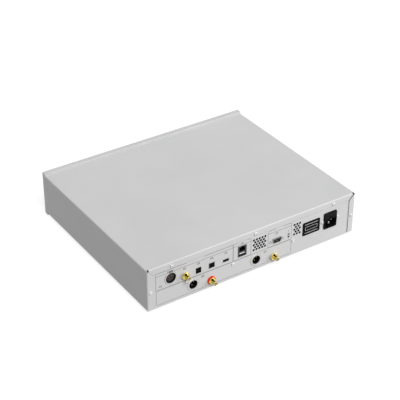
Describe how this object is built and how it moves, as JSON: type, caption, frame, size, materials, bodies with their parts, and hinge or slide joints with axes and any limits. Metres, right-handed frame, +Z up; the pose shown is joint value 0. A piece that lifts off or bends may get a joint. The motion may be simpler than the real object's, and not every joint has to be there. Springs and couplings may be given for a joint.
{
  "type": "network music streamer",
  "caption": "Full-width hi-fi streamer in a plain silver case, with front display and buttons and a rear wall of balanced, coaxial, optical, USB, network, serial and mains sockets.",
  "frame": {"origin": "on the surface it stands on, under the middle of the whole object", "axes": "+X to the left seen from behind, along the width; +Y out of the rear wall; +Z up"},
  "size_m": [0.432, 0.3782, 0.091],
  "materials": {
    "case_paint": "fine satin silver paint",
    "inner_steel": "zinc-plated, dull",
    "front_aluminium": "fine-blasted, clear anodised",
    "window_glass": "dark tint, polished",
    "module_black": "glossy black",
    "board_green": "solder mask, semi-gloss",
    "lens_dark": "dark red, polished",
    "screw_nickel": "nickel-plated, bright",
    "black_plastic": "moulded, matt",
    "pad_rubber": "matt",
    "shell_nickel": "satin nickel",
    "gold_plate": "gold-plated, polished",
    "latch_dark": "moulded, matt",
    "ring_red": "moulded, semi-gloss",
    "ring_white": "moulded, semi-gloss",
    "insulator_white": "matt",
    "port_steel": "tinned, satin",
    "tongue_white": "moulded, semi-gloss",
    "plate_black": "satin black",
    "inlet_black": "moulded, semi-gloss",
    "fuse_glass": "clear, with metal caps",
    "capacitor_sleeve": "shrink sleeve",
    "standoff_brass": "turned, nickelled",
    "winding": "taped copper winding",
    "clamp_paint": "black zinc",
    "ribbon_grey": "flat ribbon"
  },
  "bodies": {
    "case": {"cover": "case_paint", "rear_panel": "case_paint", "base_tray": "case_paint", "rear_rail": "inner_steel", "front_subpanel": "inner_steel", "fascia": "front_aluminium", "display_window": "window_glass", "display_module": "module_black", "control_board": "board_green", "infrared_window": "lens_dark", "rear_screws": "screw_nickel", "base_screws": "screw_nickel", "fascia_screws": "screw_nickel", "inlet_screws": "screw_nickel", "feet": "black_plastic", "foot_pads": "pad_rubber", "xlr_input_shell": "shell_nickel", "xlr_input_insert": "black_plastic", "xlr_input_contacts": "gold_plate", "xlr_output_shells": "shell_nickel", "xlr_output_inserts": "black_plastic", "xlr_output_pins": "gold_plate", "rca_ring_red": "ring_red", "rca_rings_white": "ring_white", "rca_nuts": "gold_plate", "rca_barrels": "gold_plate", "rca_insulators": "insulator_white", "optical_housing": "black_plastic", "usb_b_shell": "port_steel", "usb_a_shell": "port_steel", "usb_tongues": "tongue_white", "network_shell": "port_steel", "network_insert": "black_plastic", "serial_shell": "port_steel", "serial_insert": "black_plastic", "serial_pins": "gold_plate", "serial_jackposts": "screw_nickel", "slide_switch_body": "port_steel", "data_plate": "plate_black", "mains_inlet": "inlet_black", "mains_pins": "shell_nickel", "audio_board": "board_green", "digital_board": "board_green", "power_board": "board_green", "capacitors": "capacitor_sleeve", "heat_sink": "front_aluminium", "standoffs": "standoff_brass", "toroid": "winding", "toroid_clamp": "clamp_paint", "ribbon_cable": "ribbon_grey"},
    "power_button": {"power_button": "front_aluminium"},
    "menu_button": {"menu_button": "front_aluminium"},
    "back_button": {"back_button": "front_aluminium"},
    "previous_button": {"previous_button": "front_aluminium"},
    "next_button": {"next_button": "front_aluminium"},
    "xlr_latch": {"xlr_latch": "latch_dark"},
    "optical_shutter": {"optical_shutter": "black_plastic"},
    "slide_switch_lever": {"slide_switch_lever": "black_plastic"},
    "fuse_drawer": {"fuse_drawer": "inlet_black", "fuse": "fuse_glass"}
  },
  "joints": [
    {"name": "power_button_press", "type": "slide", "parent": "case", "child": "power_button", "axis": [0, 1, 0], "range_m": [0, 0.0008], "stiffness_N_per_m": 600, "springref_m": -0.001},
    {"name": "menu_button_press", "type": "slide", "parent": "case", "child": "menu_button", "axis": [0, 1, 0], "range_m": [0, 0.0008], "stiffness_N_per_m": 600, "springref_m": -0.001},
    {"name": "back_button_press", "type": "slide", "parent": "case", "child": "back_button", "axis": [0, 1, 0], "range_m": [0, 0.0008], "stiffness_N_per_m": 600, "springref_m": -0.001},
    {"name": "previous_button_press", "type": "slide", "parent": "case", "child": "previous_button", "axis": [0, 1, 0], "range_m": [0, 0.0008], "stiffness_N_per_m": 600, "springref_m": -0.001},
    {"name": "next_button_press", "type": "slide", "parent": "case", "child": "next_button", "axis": [0, 1, 0], "range_m": [0, 0.0008], "stiffness_N_per_m": 600, "springref_m": -0.001},
    {"name": "xlr_latch_press", "type": "slide", "parent": "case", "child": "xlr_latch", "axis": [0, -1, 0], "range_m": [0, 0.0012], "stiffness_N_per_m": 800, "springref_m": -0.001},
    {"name": "shutter_swing", "type": "hinge", "parent": "case", "child": "optical_shutter", "pos_m": [0.1156, 0.1728, 0.05367], "axis": [-1, 0, 0], "range_deg": [0, 80], "stiffness_Nm_per_rad": 0.0005, "springref_deg": -22.92},
    {"name": "switch_slide", "type": "slide", "parent": "case", "child": "slide_switch_lever", "axis": [0, 0, 1], "range_m": [-0.0022, 0.0022]},
    {"name": "fuse_drawer_slide", "type": "slide", "parent": "case", "child": "fuse_drawer", "axis": [0, 1, 0], "range_m": [0, 0.016]}
  ]
}
